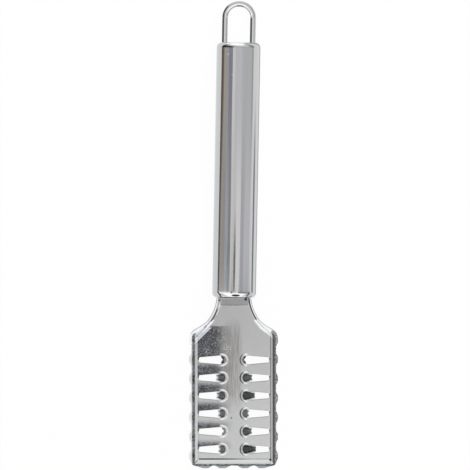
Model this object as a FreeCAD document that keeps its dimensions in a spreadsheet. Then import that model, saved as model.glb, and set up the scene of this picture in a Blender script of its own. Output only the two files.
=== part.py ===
# Fish scaler of polished stainless steel, lying on its teeth and its handle.
# X runs across the head, Y from the front teeth to the hanging loop, and Z up from the table.
# The origin is on the table, in the middle of the overall length and width.
import FreeCAD, Part
import Sketcher
import math
import os

doc = FreeCAD.newDocument("fish_scaler")

# Driving sizes, in millimetres and degrees
SIZES = {
    # Stamped head
    "sheet": 0.8,               # thickness of the head's sheet
    "head_depth": 13.5,         # back of the head to the tips of its teeth
    "tray_width": 36.4,         # across the back, where back and walls would meet unrounded
    "tray_length": 61.4,        # shoulder corner to front corner, likewise
    "wall_flare": 13.0,         # lean of the walls, outwards
    "edge_round": 1.5,          # outside of the bend between back and walls
    "neck_length": 17.2,        # mouth of the handle to the shoulder corner
    "shoulder_run": 7.9,        # how far the slanted shoulder runs along Y
    "shoulder_round": 3.0,
    "neck_round": 22.0,
    "tang_width": 14.2,
    "tang_length": 18.0,        # part of the head that sits inside the handle
    "joggle": 1.6,              # step down from the back to the tang
    "joggle_start": 3.6,        # foot of the step, from the mouth
    "joggle_run": 3.0,
    "joggle_round": 1.6,
    "flange_depth": 3.2,        # side flanges of the tang, measured from its top
    "flange_end": 11.0,         # where the flange starts to deepen, from the mouth
    # Teeth of the side walls
    "tooth_pitch": 9.27,
    "tooth_first": 3.0,         # shoulder corner to the middle of the first tooth
    "tooth_depth": 4.3,
    "tooth_tip": 2.3,
    "tooth_base": 5.9,
    # Teeth of the front wall
    "front_depth": 6.0,
    "front_tip": 2.9,
    "front_base": 7.2,
    "front_place": 5.3,         # middle of an inner tooth from the centre line
    "corner_tip": 2.4,
    "corner_place": 13.4,       # middle of a corner tooth's tip from the centre line
    "corner_inner": 3.2,        # tip's middle to the foot of its steep side
    "corner_depth": 7.0,        # how far the notch at each front corner rises from the tips
    # Slots and tongues
    "row_pitch": 8.56,
    "row_first": 12.4,          # shoulder corner to the middle of the first row
    "web_width": 5.6,           # flat strip left between the two columns
    "slot_margin": 1.45,        # narrow end of a slot to the unrounded side edge
    "slot_tip": 2.4,
    "slot_root": 4.3,
    "spout_radius": 2.0,        # hollow side of a tongue's root
    "spout_bend": 0.25,         # inside of the bend at a tongue's root
    "tongue_tip": 3.0,
    "tongue_clear": 0.45,       # table to the tip of a tongue that hangs straight down
    # Handle
    "handle_diameter": 21.0,
    "handle_length": 122.8,     # over both end caps
    "handle_lean": 1.05,        # sideways lean of the handle, seen from above
    "tube_wall": 0.8,
    "cap_wall": 0.9,
    "cap_height": 3.2,
    "cap_round": 2.4,
    "fit_gap": 0.08,            # clearance of the tang and the wire in their caps
    # Hanging loop
    "wire_diameter": 2.7,
    "loop_width": 13.4,         # between the middles of the two legs
    "loop_leg": 11.5,           # end of the handle to the middle of the arch
    "leg_hidden": 5.0,          # leg inside the handle
}
# How far each tongue leans outwards from upright, from the neck to the front
TONGUE_LEANS = {
    "left": (7.0, 21.0, 20.0, 16.0, 5.0, 15.0),
    "right": (6.0, 24.0, 31.0, 15.0, 23.0, 34.0),
}
for hand, leans in TONGUE_LEANS.items():
    for place, lean in enumerate(leans, start=1):
        SIZES[f"{hand}_lean_row{place}"] = lean

sheet_of_sizes = doc.addObject("Spreadsheet::Sheet", "sizes")
for row, (alias, number) in enumerate(SIZES.items(), start=1):
    sheet_of_sizes.set(f"A{row}", alias.replace("_", " "))
    sheet_of_sizes.set(f"B{row}", str(number))
    sheet_of_sizes.setAlias(f"B{row}", alias)
doc.recompute()


class Measure:
    """A number together with the formula that gives it from the sheet of sizes."""

    def __init__(self, text, number):
        self.text = text
        self.number = number

    def __add__(self, other):
        other = measure(other)
        return Measure(f"({self.text} + {other.text})", self.number + other.number)

    def __sub__(self, other):
        other = measure(other)
        return Measure(f"({self.text} - {other.text})", self.number - other.number)

    def __mul__(self, other):
        other = measure(other)
        return Measure(f"({self.text} * {other.text})", self.number * other.number)

    def __truediv__(self, other):
        other = measure(other)
        return Measure(f"({self.text} / {other.text})", self.number / other.number)

    def __neg__(self):
        return Measure(f"(0 - {self.text})", -self.number)

    def root(self):
        return Measure(f"sqrt({self.text})", math.sqrt(self.number))


def measure(value):
    return value if isinstance(value, Measure) else Measure(f"{value}", float(value))


def size(alias):
    return Measure(f"sizes.{alias}", float(getattr(sheet_of_sizes, alias)))


def whole(value):
    """Whole part of a number, for a count."""
    return Measure(f"floor({value.text})", math.floor(value.number))


def sine(angle):
    return Measure(f"sin({angle.text})", math.sin(math.radians(angle.number)))


def cosine(angle):
    return Measure(f"cos({angle.text})", math.cos(math.radians(angle.number)))


def tangent(angle):
    return Measure(f"tan({angle.text})", math.tan(math.radians(angle.number)))


def turn_of(rise, run):
    """Angle of a slope, in degrees."""
    ratio = rise / run
    return Measure(f"atan({ratio.text})", math.degrees(math.atan(ratio.number)))


def bind(item, name, value):
    item.setExpression(name, measure(value).text)


# Sizes that follow from the driving ones
sheet = size("sheet")
head_depth = size("head_depth")
flare = tangent(size("wall_flare"))
half_tray = size("tray_width") / 2
half_tang = size("tang_width") / 2
tang_y = size("tang_length")
shoulder_y = -size("neck_length")
slant_y = shoulder_y + size("shoulder_run")
front_y = shoulder_y - size("tray_length")
tang_top = head_depth - size("joggle")
flange_foot = tang_top - size("flange_depth")
first_root_y = shoulder_y - size("tooth_first") + size("tooth_base") / 2
corner_reach = (head_depth - size("corner_depth")) * flare
axis_height = size("handle_diameter") / 2
arch_radius = size("loop_width") / 2

# A slot ends in a half-round spout, where the tongue is pressed down out of the sheet
spout_outer = size("spout_bend") + sheet
ring_radius = size("spout_radius") + spout_outer
slot_x = size("web_width") / 2 + ring_radius
slot_end_x = half_tray - size("slot_margin")

# As many teeth and rows as fit between the shoulder and the front
tooth_room = size("tray_length") - size("tooth_first") - size("tooth_tip")
tooth_count = whole(tooth_room / size("tooth_pitch")) + 1
row_room = size("tray_length") - size("row_first") - ring_radius - size("edge_round") - sheet
row_count = whole(row_room / size("row_pitch")) + 1

# The mouth of the handle is the seat of the head, and every piece is drawn from it
front_reach = -front_y + head_depth * flare
rear_reach = ((size("handle_length") + size("loop_leg")) * cosine(size("handle_lean"))
              + arch_radius + size("wire_diameter") / 2)
mouth_y = (front_reach - rear_reach) / 2

MARGIN = 5.0          # how far a cutting shape runs past what it cuts
FACET_COUNT = 8       # flat facets round the half ring of a tongue
LIP_BAND_COUNT = 2    # flat bands down a spout's bend
CAP_BAND_COUNT = 3    # flat bands round a cap's edge


def new_body(name):
    return doc.addObject("PartDesign::Body", name)


def band_points(x, y, radius, start_angle, end_angle, bands):
    """Corners of a rounding that is made of a few flat bands."""
    turn = (end_angle - start_angle) / bands
    angles = [measure(start_angle + turn * i) for i in range(bands + 1)]
    return [(x + radius * cosine(angle), measure(y) + radius * sine(angle)) for angle in angles]


def origin_part(body, role):
    return next(item for item in body.Origin.OriginFeatures if item.Role == role)


def new_sketch(body, name, plane, level=None):
    sketch = body.newObject("Sketcher::SketchObject", name)
    sketch.AttachmentSupport = [(origin_part(body, plane), "")]
    sketch.MapMode = "FlatFace"
    if level is not None:
        bind(sketch, "AttachmentOffset.Base.z", level)
    return sketch


def spot(x, y):
    return FreeCAD.Vector(measure(x).number, measure(y).number, 0)


def fix_one(sketch, kind, line, end, value):
    value = measure(value)
    index = sketch.addConstraint(Sketcher.Constraint(kind, -1, 1, line, end, value.number))
    bind(sketch, f"Constraints[{index}]", value)


def fix_point(sketch, line, end, place):
    """Tie one end of a drawn line to its coordinates."""
    fix_one(sketch, "DistanceX", line, end, place[0])
    fix_one(sketch, "DistanceY", line, end, place[1])


def join_ends(sketch, line, follower):
    sketch.addConstraint(Sketcher.Constraint("Coincident", line, 2, follower, 1))


def draw_polygon(sketch, corners):
    """Closed outline of straight lines, each corner tied to its formulas."""
    count = len(corners)
    lines = [sketch.addGeometry(Part.LineSegment(spot(*corners[i]), spot(*corners[(i + 1) % count])), False)
             for i in range(count)]
    for i in range(count):
        join_ends(sketch, lines[i], lines[(i + 1) % count])
        fix_point(sketch, lines[i], 1, corners[i])


def draw_circle(sketch, x, y, radius):
    circle = Part.Circle(spot(x, y), FreeCAD.Vector(0, 0, 1), radius.number)
    line = sketch.addGeometry(circle, False)
    index = sketch.addConstraint(Sketcher.Constraint("Radius", line, radius.number))
    bind(sketch, f"Constraints[{index}]", radius)
    fix_point(sketch, line, 3, (x, y))


def draw_top_half_circle(sketch, y, radius):
    """Half circle above a centre on the Y axis; its two ends still have to be tied."""
    circle = Part.Circle(spot(0, y), FreeCAD.Vector(0, 0, 1), radius.number)
    line = sketch.addGeometry(Part.ArcOfCircle(circle, 0, math.pi), False)
    fix_one(sketch, "DistanceY", line, 3, y)
    return line


def pad(body, name, sketch, length, downwards=False):
    feature = body.newObject("PartDesign::Pad", name)
    feature.Profile = sketch
    feature.Reversed = downwards
    bind(feature, "Length", length)
    doc.recompute()
    return feature


def pocket(body, name, sketch, length, both_ways=False, turned=False):
    """Cut along the sketch's normal; the cut has to take material away."""
    before = body.Shape.Volume
    feature = body.newObject("PartDesign::Pocket", name)
    feature.Profile = sketch
    feature.SideType = "Symmetric" if both_ways else "One side"
    feature.Reversed = turned
    bind(feature, "Length", length)
    doc.recompute()
    if not body.Shape.Volume < before - 0.01:
        raise RuntimeError(f"{name} cuts nothing")
    return feature


def repeat(body, name, feature, kind, **settings):
    """Pattern or mirror a cut, and make it the body's last step."""
    before = body.Shape.Volume
    copies = body.newObject(f"PartDesign::{kind}", name)
    copies.Originals = [feature]
    for setting, value in settings.items():
        if isinstance(value, Measure):
            bind(copies, setting, value)
        else:
            setattr(copies, setting, value)
    body.Tip = copies
    doc.recompute()
    if not body.Shape.Volume < before - 0.01:
        raise RuntimeError(f"{name} repeats nothing")
    return copies


def revolve(body, name, sketch):
    feature = body.newObject("PartDesign::Revolution", name)
    feature.Profile = sketch
    feature.ReferenceAxis = (origin_part(body, "Y_Axis"), [""])
    feature.Angle = 360
    doc.recompute()
    return feature


def round_edges(body, name, base, radius, wanted):
    """Fillet the edges of a feature that the test picks out."""
    picked = [f"Edge{i}" for i, edge in enumerate(base.Shape.Edges, start=1) if wanted(edge)]
    if not picked:
        raise RuntimeError(f"{name} finds no edge")
    feature = body.newObject("PartDesign::Fillet", name)
    feature.Base = (base, picked)
    bind(feature, "Radius", radius)
    doc.recompute()
    return feature


def close(a, b):
    return abs(a - measure(b).number) < 1e-4


def middle(edge):
    return edge.valueAt((edge.FirstParameter + edge.LastParameter) / 2)


def runs_along(edge, axis):
    ends = [vertex.Point for vertex in edge.Vertexes]
    if len(ends) < 2:
        return False
    step = (ends[1] - ends[0]).normalize()
    return abs(abs(getattr(step, axis)) - 1) < 1e-6


# Scraper head: one sheet, drawn down into a tray whose walls are cut into teeth
def make_tray():
    body = new_body("tray")
    outline = new_sketch(body, "tray_outline", "XY_Plane", head_depth)
    right = [(half_tang, tang_y), (half_tang, slant_y), (half_tray, shoulder_y), (half_tray, front_y)]
    left = [(-x, y) for x, y in reversed(right)]
    draw_polygon(outline, right + left)
    block = pad(body, "tray_block", outline, head_depth, downwards=True)

    def upright_at(x, y):
        return lambda edge: (runs_along(edge, "z") and close(abs(middle(edge).x), x)
                             and close(middle(edge).y, y))

    neck = round_edges(body, "neck_rounds", block, size("neck_round"), upright_at(half_tang, slant_y))
    shoulders = round_edges(body, "shoulder_rounds", neck, size("shoulder_round"),
                            upright_at(half_tray, shoulder_y))
    walls = lean_walls(body, shoulders)
    eased = step_down_to_tang(body, walls)

    # The bend between the back and the walls runs all the way round, but for the tang's end
    def on_rim(edge):
        at = middle(edge)
        crosses = abs(at.x) < 1e-4 and not close(at.y, front_y)
        return at.z > tang_top.number - 1e-4 and not close(at.y, tang_y) and not crosses

    rim = round_edges(body, "edge_rounds", eased, size("edge_round"), on_rim)
    shell = body.newObject("PartDesign::Thickness", "sheet_shell")
    shell.Base = (rim, [f"Face{i}" for i, face in enumerate(rim.Shape.Faces, start=1)
                        if close(face.BoundBox.ZMax, 0) or close(face.BoundBox.YMin, tang_y)])
    shell.Join = "Arc"
    shell.Reversed = True
    bind(shell, "Value", sheet)
    doc.recompute()

    trim_neck(body)
    cut_side_teeth(body)
    cut_front_teeth(body)
    cut_slots(body)
    return body


def lean_walls(body, base):
    """Lean every side face outwards, from the back down, but for the tang's end."""
    sides, back = [], None
    for i, face in enumerate(base.Shape.Faces, start=1):
        if close(face.BoundBox.ZMin, head_depth):
            back = f"Face{i}"
        elif not close(face.BoundBox.ZMax, 0) and not close(face.BoundBox.YMin, tang_y):
            sides.append(f"Face{i}")
    walls = body.newObject("PartDesign::Draft", "wall_lean")
    walls.Base = (base, sides)
    walls.NeutralPlane = (base, [back])
    bind(walls, "Angle", size("wall_flare"))
    doc.recompute()
    return walls


def step_down_to_tang(body, base):
    """Lower the tang by the joggle and ease the two bends of the step."""
    head_y = -size("joggle_start")
    foot_y = head_y + size("joggle_run")
    side = new_sketch(body, "joggle_side", "YZ_Plane")
    draw_polygon(side, [(head_y, head_depth), (foot_y, tang_top), (tang_y + MARGIN, tang_top),
                        (tang_y + MARGIN, head_depth + MARGIN), (head_y, head_depth + MARGIN)])
    lowered = pocket(body, "joggle_step", side, size("tray_width") * 2, both_ways=True)

    def is_bend(edge):
        at = middle(edge)
        upper = close(at.y, head_y) and close(at.z, head_depth)
        lower = close(at.y, foot_y) and close(at.z, tang_top)
        return runs_along(edge, "x") and (upper or lower)

    return round_edges(body, "joggle_rounds", lowered, size("joggle_round"), is_bend)


def trim_neck(body):
    """Cut the walls of the neck and the tang down to a flange."""
    side = new_sketch(body, "flange_side", "YZ_Plane")
    draw_polygon(side, [(tang_y + MARGIN, flange_foot), (-size("flange_end"), flange_foot),
                        (first_root_y, size("tooth_depth")), (first_root_y, -MARGIN),
                        (tang_y + MARGIN, -MARGIN)])
    pocket(body, "flange_trim", side, size("tray_width") * 2, both_ways=True)


def cut_side_teeth(body):
    """Cut the gaps between the teeth of one side wall, and mirror the cut."""
    root, tip, base = size("tooth_depth"), size("tooth_tip") / 2, size("tooth_base") / 2
    wave = [(first_root_y, -MARGIN)]
    for i in range(int(tooth_count.number)):
        place = shoulder_y - size("tooth_first") - size("tooth_pitch") * i
        wave += [(place + base, root), (place + tip, 0), (place - tip, 0), (place - base, root)]
    wave[-1] = (front_y - corner_reach, size("corner_depth"))
    wave += [(-front_reach - MARGIN, size("corner_depth")), (-front_reach - MARGIN, -MARGIN)]
    inside = half_tray - sheet * 3
    side = new_sketch(body, "tooth_side", "YZ_Plane", inside)
    draw_polygon(side, wave)
    gaps = pocket(body, "tooth_gaps", side, size("tray_width"), turned=True)
    repeat(body, "tooth_gaps_left", gaps, "Mirrored", MirrorPlane=(origin_part(body, "YZ_Plane"), [""]))


def cut_front_teeth(body):
    """Cut the front wall into two inner teeth and two corner teeth."""
    root, inner, corner = size("front_depth"), size("front_place"), size("corner_place")
    corner_x = half_tray + corner_reach
    half = [(inner - size("front_base") / 2, root), (inner - size("front_tip") / 2, 0),
            (inner + size("front_tip") / 2, 0), (inner + size("front_base") / 2, root),
            (corner - size("corner_inner"), root), (corner - size("corner_tip") / 2, 0),
            (corner + size("corner_tip") / 2, 0), (corner_x, size("corner_depth")),
            (corner_x + MARGIN, size("corner_depth")), (corner_x + MARGIN, -MARGIN)]
    inside = -front_y - sheet * 2
    front = new_sketch(body, "tooth_front", "XZ_Plane", inside)
    draw_polygon(front, half + [(-x, z) for x, z in reversed(half)])
    pocket(body, "front_gaps", front, front_reach, turned=True)


def cut_slots(body):
    """Cut the first pair of slots, and repeat it towards the front."""
    plan = new_sketch(body, "slot_plan", "XY_Plane", head_depth)
    row_y = shoulder_y - size("row_first")
    for hand in (1, -1):
        ring = band_points(slot_x, 0, ring_radius, 90, 270, FACET_COUNT)
        ends = ring + [(slot_x, -size("slot_root") / 2), (slot_end_x, -size("slot_tip") / 2),
                       (slot_end_x, size("slot_tip") / 2), (slot_x, size("slot_root") / 2)]
        draw_polygon(plan, [(x * hand, row_y + y) for x, y in ends])
    slots = pocket(body, "slot_pair", plan, sheet * 2)
    repeat(body, "slot_rows", slots, "LinearPattern", Direction=(origin_part(body, "Y_Axis"), [""]),
           Reversed=True, Occurrences=row_count, Length=size("row_pitch") * (row_count - 1))


# Each tongue leaves the back through a half-round spout and tapers down as a gutter
def half_turned(section):
    """Solid that a section, given as radius and height, makes half round the upright axis."""
    rings = []
    for i in range(FACET_COUNT + 1):
        turn = math.radians(90 + 180 * i / FACET_COUNT)
        rings.append([FreeCAD.Vector(radius * math.cos(turn), radius * math.sin(turn), z)
                      for radius, z in section])

    def face(*corners):
        return Part.Face(Part.makePolygon(list(corners) + [corners[0]]))

    faces = [face(*rings[0]), face(*rings[-1])]
    for ring, following in zip(rings, rings[1:]):
        for i in range(len(section)):
            after = (i + 1) % len(section)
            faces.append(face(ring[i], ring[after], following[after], following[i]))
    return Part.makeSolid(Part.makeShell(faces))


def make_tongue(hand, row):
    hollow, gauge, ring = size("spout_radius").number, sheet.number, ring_radius.number
    bend_z = (head_depth - spout_outer).number
    lip = [(radius.number, z.number) for radius, z in
           band_points(ring_radius, head_depth - spout_outer, spout_outer, 90, 180, LIP_BAND_COUNT)]
    spout = half_turned(lip + [(hollow + gauge, bend_z), (ring, bend_z + size("spout_bend").number)])

    # The gutter starts above the spout's foot, leans about its back and is then cut level
    reach = bend_z - size("tongue_clear").number
    tip_hollow = size("tongue_tip").number / 2 - gauge
    narrowing = (hollow - tip_hollow) / reach
    start_hollow = hollow + narrowing * ring
    gutter = half_turned([(start_hollow, ring), (start_hollow + gauge, ring),
                          (tip_hollow + gauge, -reach), (tip_hollow, -reach)])
    given = (row - 1) % len(TONGUE_LEANS[hand]) + 1
    lean = size(f"{hand}_lean_row{given}").number - math.degrees(math.atan(narrowing))
    gutter.rotate(FreeCAD.Vector(-hollow, 0, 0), FreeCAD.Vector(0, 1, 0), -lean)
    gutter.translate(FreeCAD.Vector(0, 0, bend_z))
    above = Part.makeBox(4 * reach, 4 * reach, reach, FreeCAD.Vector(-2 * reach, -2 * reach, bend_z))

    tongue = doc.addObject("Part::Feature", f"tongue_{hand}_{row}")
    tongue.Shape = spout.fuse(gutter.cut(above)).removeSplitter()
    side = 1 if hand == "right" else -1
    row_y = shoulder_y - size("row_first") - size("row_pitch") * (row - 1)
    tongue.Placement = FreeCAD.Placement(FreeCAD.Vector(side * slot_x.number, row_y.number, 0),
                                         FreeCAD.Rotation(FreeCAD.Vector(0, 0, 1), 90 - 90 * side))
    return tongue


def make_scraper_head():
    rows = range(1, int(row_count.number) + 1)
    tongues = [make_tongue(hand, row) for hand in TONGUE_LEANS for row in rows]
    head = doc.addObject("Part::MultiFuse", "scraper_head")
    head.Shapes = [make_tray()] + tongues
    bind(head, "Placement.Base.y", mouth_y)
    return head


# Handle: a straight tube between two pressed end caps
def seat_on_axis(body):
    """Put a piece that is drawn along Y on the handle's leaning axis."""
    down = FreeCAD.Vector(0, 0, -1)
    body.Placement = FreeCAD.Placement(FreeCAD.Vector(), FreeCAD.Rotation(down, size("handle_lean").number))
    bind(body, "Placement.Rotation.Angle", size("handle_lean"))
    bind(body, "Placement.Base.y", mouth_y)
    bind(body, "Placement.Base.z", axis_height)
    return body


def make_handle_tube():
    body = new_body("handle_tube")
    outside, inside = axis_height, axis_height - size("tube_wall")
    low, high = size("cap_height"), size("handle_length") - size("cap_height")
    side = new_sketch(body, "tube_side", "XY_Plane")
    draw_polygon(side, [(inside, low), (outside, low), (outside, high), (inside, high)])
    revolve(body, "tube", side)
    return seat_on_axis(body)


def make_cap(name, end_y, inwards):
    """Pressed cup with its closed end at end_y, its skirt pointing along inwards."""
    body = new_body(name)
    outside, inside = axis_height, axis_height - size("cap_wall")
    round_y = end_y + size("cap_round") * inwards
    skirt_y = end_y + size("cap_height") * inwards
    under = size("cap_wall") * inwards
    rounding = band_points(outside - size("cap_round"), round_y, size("cap_round"), -90 * inwards, 0,
                           CAP_BAND_COUNT)
    side = new_sketch(body, f"{name}_side", "XY_Plane")
    draw_polygon(side, [(0, end_y)] + rounding + [(outside, skirt_y), (inside, skirt_y), (inside, round_y),
                                                  (rounding[0][0], end_y + under), (0, end_y + under)])
    revolve(body, f"{name}_cup", side)
    return body


def make_mouth_cap():
    """Cap at the head's end, with a slot that the tang passes through."""
    body = make_cap("mouth_cap", measure(0), 1)
    half_slant = turn_of(half_tray - half_tang, size("shoulder_run"))
    neck_start = -slant_y - size("neck_round") * tangent(half_slant / 2)
    bulge = size("neck_round") - (size("neck_round") * size("neck_round") - neck_start * neck_start).root()
    half_slot = half_tang + bulge + (size("joggle") + size("flange_depth")) * flare + size("fit_gap")
    low = flange_foot - size("fit_gap") - axis_height
    high = tang_top + size("fit_gap") - axis_height
    slot = new_sketch(body, "tang_slot", "XZ_Plane", MARGIN)
    draw_polygon(slot, [(-half_slot, low), (half_slot, low), (half_slot, high), (-half_slot, high)])
    pocket(body, "tang_opening", slot, size("cap_height") + MARGIN)
    return seat_on_axis(body)


def make_end_cap():
    """Cap at the far end, with two holes for the loop's legs."""
    body = make_cap("end_cap", size("handle_length"), -1)
    holes = new_sketch(body, "leg_holes", "XZ_Plane", size("cap_height") - size("handle_length"))
    for x in (arch_radius, -arch_radius):
        draw_circle(holes, x, 0, size("wire_diameter") / 2 + size("fit_gap"))
    pocket(body, "leg_openings", holes, size("cap_height") + MARGIN)
    return seat_on_axis(body)


def make_hanging_loop():
    """Round wire: two legs and a half-round arch."""
    body = new_body("hanging_loop")
    hidden_y = size("handle_length") - size("leg_hidden")
    arch_y = size("handle_length") + size("loop_leg")
    path = new_sketch(body, "loop_path", "XY_Plane")
    legs = [((arch_radius, hidden_y), (arch_radius, arch_y)),
            ((-arch_radius, arch_y), (-arch_radius, hidden_y))]
    right = path.addGeometry(Part.LineSegment(spot(*legs[0][0]), spot(*legs[0][1])), False)
    arch = draw_top_half_circle(path, arch_y, arch_radius)
    left = path.addGeometry(Part.LineSegment(spot(*legs[1][0]), spot(*legs[1][1])), False)
    join_ends(path, right, arch)
    join_ends(path, arch, left)
    for line, (start, end) in ((right, legs[0]), (left, legs[1])):
        fix_point(path, line, 1, start)
        fix_point(path, line, 2, end)
    wire = new_sketch(body, "wire_section", "XZ_Plane", -hidden_y)
    draw_circle(wire, arch_radius, 0, size("wire_diameter") / 2)
    pipe = body.newObject("PartDesign::AdditivePipe", "loop_wire")
    pipe.Profile = wire
    pipe.Spine = (path, ["Edge1", "Edge2", "Edge3"])
    doc.recompute()
    return seat_on_axis(body)


nodes = [make_scraper_head(), make_mouth_cap(), make_handle_tube(), make_end_cap(), make_hanging_loop()]
doc.recompute()

# Nothing is written unless the whole document is sound
for item in doc.Objects:
    if "Invalid" in item.State or "Error" in item.State:
        raise RuntimeError(f"{item.Label} did not build")
for node in nodes:
    if node.Shape.isNull() or not node.Shape.isValid() or len(node.Shape.Solids) != 1:
        raise RuntimeError(f"{node.Label} is not one sound solid")

os.makedirs("parts", exist_ok=True)
for node in nodes:
    node.Shape.exportStep(f"parts/{node.Label}.step")
    print(node.Label, round(node.Shape.Volume, 1), "mm3", node.Shape.BoundBox)
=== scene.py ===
import math

import bmesh
import bpy
from mathutils import Matrix, Vector


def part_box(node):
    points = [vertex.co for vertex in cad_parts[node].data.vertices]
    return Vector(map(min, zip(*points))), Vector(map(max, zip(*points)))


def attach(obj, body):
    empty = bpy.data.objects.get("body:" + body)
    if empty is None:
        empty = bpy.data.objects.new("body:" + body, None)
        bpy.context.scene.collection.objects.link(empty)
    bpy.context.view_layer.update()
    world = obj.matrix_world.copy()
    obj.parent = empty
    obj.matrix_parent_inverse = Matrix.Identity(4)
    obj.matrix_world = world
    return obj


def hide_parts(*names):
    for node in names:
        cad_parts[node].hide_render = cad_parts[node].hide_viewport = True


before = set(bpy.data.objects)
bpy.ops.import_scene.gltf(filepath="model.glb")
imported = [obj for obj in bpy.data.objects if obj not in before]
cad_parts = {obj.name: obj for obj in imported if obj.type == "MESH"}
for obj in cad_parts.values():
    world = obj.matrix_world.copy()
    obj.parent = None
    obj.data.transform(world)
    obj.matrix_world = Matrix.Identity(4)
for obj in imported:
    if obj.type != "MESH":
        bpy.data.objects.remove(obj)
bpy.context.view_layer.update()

# Sizes of the fish scaler, in millimetres and degrees
MM = 0.001
SHEET = 0.8
TRAY_WIDTH = 36.4
TRAY_LENGTH = 61.4
NECK_LENGTH = 17.2
SHOULDER_RUN = 7.9
SHOULDER_ROUND = 3.0
NECK_ROUND = 22.0
TANG_WIDTH = 14.2
TANG_LENGTH = 18.0
WALL_FLARE = math.radians(13.0)
EDGE_ROUND = 1.5
JOGGLE = 1.6
JOGGLE_START = 3.6
JOGGLE_RUN = 3.0
FLANGE_DEPTH = 3.2
FLANGE_END = 11.0

# Teeth of the side walls and the front wall
TOOTH_COUNT = 7
TOOTH_PITCH = 9.27
TOOTH_FIRST = 3.0
TOOTH_DEPTH = 4.3
TOOTH_TIP = 2.3
TOOTH_BASE = 5.9
FRONT_DEPTH = 6.0
FRONT_TIP = 2.9
FRONT_BASE = 7.2
FRONT_PLACE = 5.3
CORNER_TIP = 2.4
CORNER_PLACE = 13.4
CORNER_INNER = 3.2
CORNER_DEPTH = 7.0
TOOTH_ROUND = 0.9

# Slots and the tongues pressed down from them
ROW_COUNT = 6
ROW_PITCH = 8.56
ROW_FIRST = 12.4
WEB_WIDTH = 5.6
SLOT_MARGIN = 1.45
SLOT_TIP = 2.4
SLOT_ROOT = 4.3
SLOT_CORNER = 0.7
SPOUT_HOLLOW = 2.0
LIP = 1.05
LIP_FADE = 1.9
TONGUE_TIP = 3.0
TONGUE_CLEAR = 0.45
TONGUE_CORNER = 1.4
LEANS = {-1: (7, 21, 20, 16, 5, 15), 1: (6, 24, 31, 15, 23, 34)}

# Handle and loop
HANDLE_LENGTH = 122.8
HANDLE_LEAN = math.radians(1.05)
TUBE_WALL = 0.8
CAP_WALL = 0.9
CAP_HEIGHT = 3.2
CAP_ROUND = 2.4
CAP_CROWN = 0.4
FIT_GAP = 0.08
CUT_LENGTH = 4 * CAP_HEIGHT
WIRE_RADIUS = 1.35
LOOP_WIDTH = 13.4
LOOP_LEG = 11.5
LEG_HIDDEN = 5.0

# Soft edges, and the smallest angle that counts as an edge
EDGE_SOFT = 0.12
STEP_ROUND = 1.0
CREASE = math.radians(40)

# Nearness at which points count as one, as lying on a cut, or as lying at a slot's root
WELD = 1e-5
HEAD_WELD = 1e-4
ON_CUT = 1e-6
AT_ROOT = 1e-3

# How near to a corner and to the shoulder the walls' outline may have a point
CORNER_CLEAR = 0.4
SHOULDER_CLEAR = 0.1

# Passes that find where a flared wall meets its lower edge
FOOT_PASSES = 6

# Steps that round shapes are made in
RIM_STEPS = 6
LIP_STEPS = 5
RING_STEPS = 16
FADE_STEPS = 6
GUTTER_STEPS = 5
NECK_STEPS = 24
SHOULDER_STEPS = 8
CORNER_STEPS = 4
TURN_STEPS = 128
CAP_STEPS = 12
CROWN_RINGS = (0, 2, 4, 6)
WIRE_STEPS = 32
ARCH_STEPS = 48

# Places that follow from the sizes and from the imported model
head_low, head_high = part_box("scraper_head")
HEAD_DEPTH = (head_high.z - head_low.z) / MM
FLARE = math.tan(WALL_FLARE)
HALF_TRAY = TRAY_WIDTH / 2
HALF_TANG = TANG_WIDTH / 2
SHOULDER_Y = -NECK_LENGTH
SLANT_Y = SHOULDER_Y + SHOULDER_RUN
FRONT_Y = SHOULDER_Y - TRAY_LENGTH
FLANGE_FOOT = HEAD_DEPTH - JOGGLE - FLANGE_DEPTH
FIRST_TOOTH_Y = SHOULDER_Y - TOOTH_FIRST + TOOTH_TIP / 2
CORNER_REACH = (HEAD_DEPTH - CORNER_DEPTH) * FLARE
SLOT_X = WEB_WIDTH / 2 + SPOUT_HOLLOW + LIP
SLOT_END_X = HALF_TRAY - SLOT_MARGIN
SLOT_TAPER = (SLOT_ROOT - SLOT_TIP) / 2 / (SLOT_END_X - SLOT_X)
TONGUE_REACH = HEAD_DEPTH - LIP - TONGUE_CLEAR
TIP_HOLLOW = TONGUE_TIP / 2 - SHEET
TIP_RISE = SHEET * math.sin(WALL_FLARE)
tube_low, tube_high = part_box("handle_tube")
AXIS_Z = (tube_low.z + tube_high.z) / 2 / MM
TUBE_RADIUS = (tube_high.z - tube_low.z) / 2 / MM
MOUTH_Y = head_low.y / MM - FRONT_Y + HEAD_DEPTH * FLARE
SLANT = math.atan2(HALF_TRAY - HALF_TANG, SHOULDER_RUN)
NECK_X = HALF_TANG + NECK_ROUND
NECK_Y = SLANT_Y + NECK_ROUND * math.tan(SLANT / 2)
BEND_INSET = EDGE_ROUND * math.tan((math.pi / 2 - WALL_FLARE) / 2)
FIRST_ROW_Y = SHOULDER_Y - ROW_FIRST

HEAD_SEAT = Matrix.Scale(MM, 4) @ Matrix.Translation((0, MOUTH_Y, 0))
HANDLE_SEAT = (Matrix.Scale(MM, 4) @ Matrix.Translation((0, MOUTH_Y, AXIS_Z))
               @ Matrix.Rotation(-HANDLE_LEAN, 4, "Z"))


def new_piece(bm, name, material=None):
    """Object in the scene, made of a drawn mesh."""
    mesh = bpy.data.meshes.new(name)
    bm.to_mesh(mesh)
    bm.free()
    if material:
        mesh.materials.append(material)
    piece = bpy.data.objects.new(name, mesh)
    bpy.context.scene.collection.objects.link(piece)
    return piece


def finish_piece(bm, name, node, seat, material):
    """Seat a drawn mesh where its node is, and let it stand for that node."""
    bm.transform(seat)
    piece = new_piece(bm, name, material)
    piece.data.polygons.foreach_set("use_smooth", [True] * len(piece.data.polygons))
    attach(piece, "root")
    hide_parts(node)
    return piece


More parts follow.
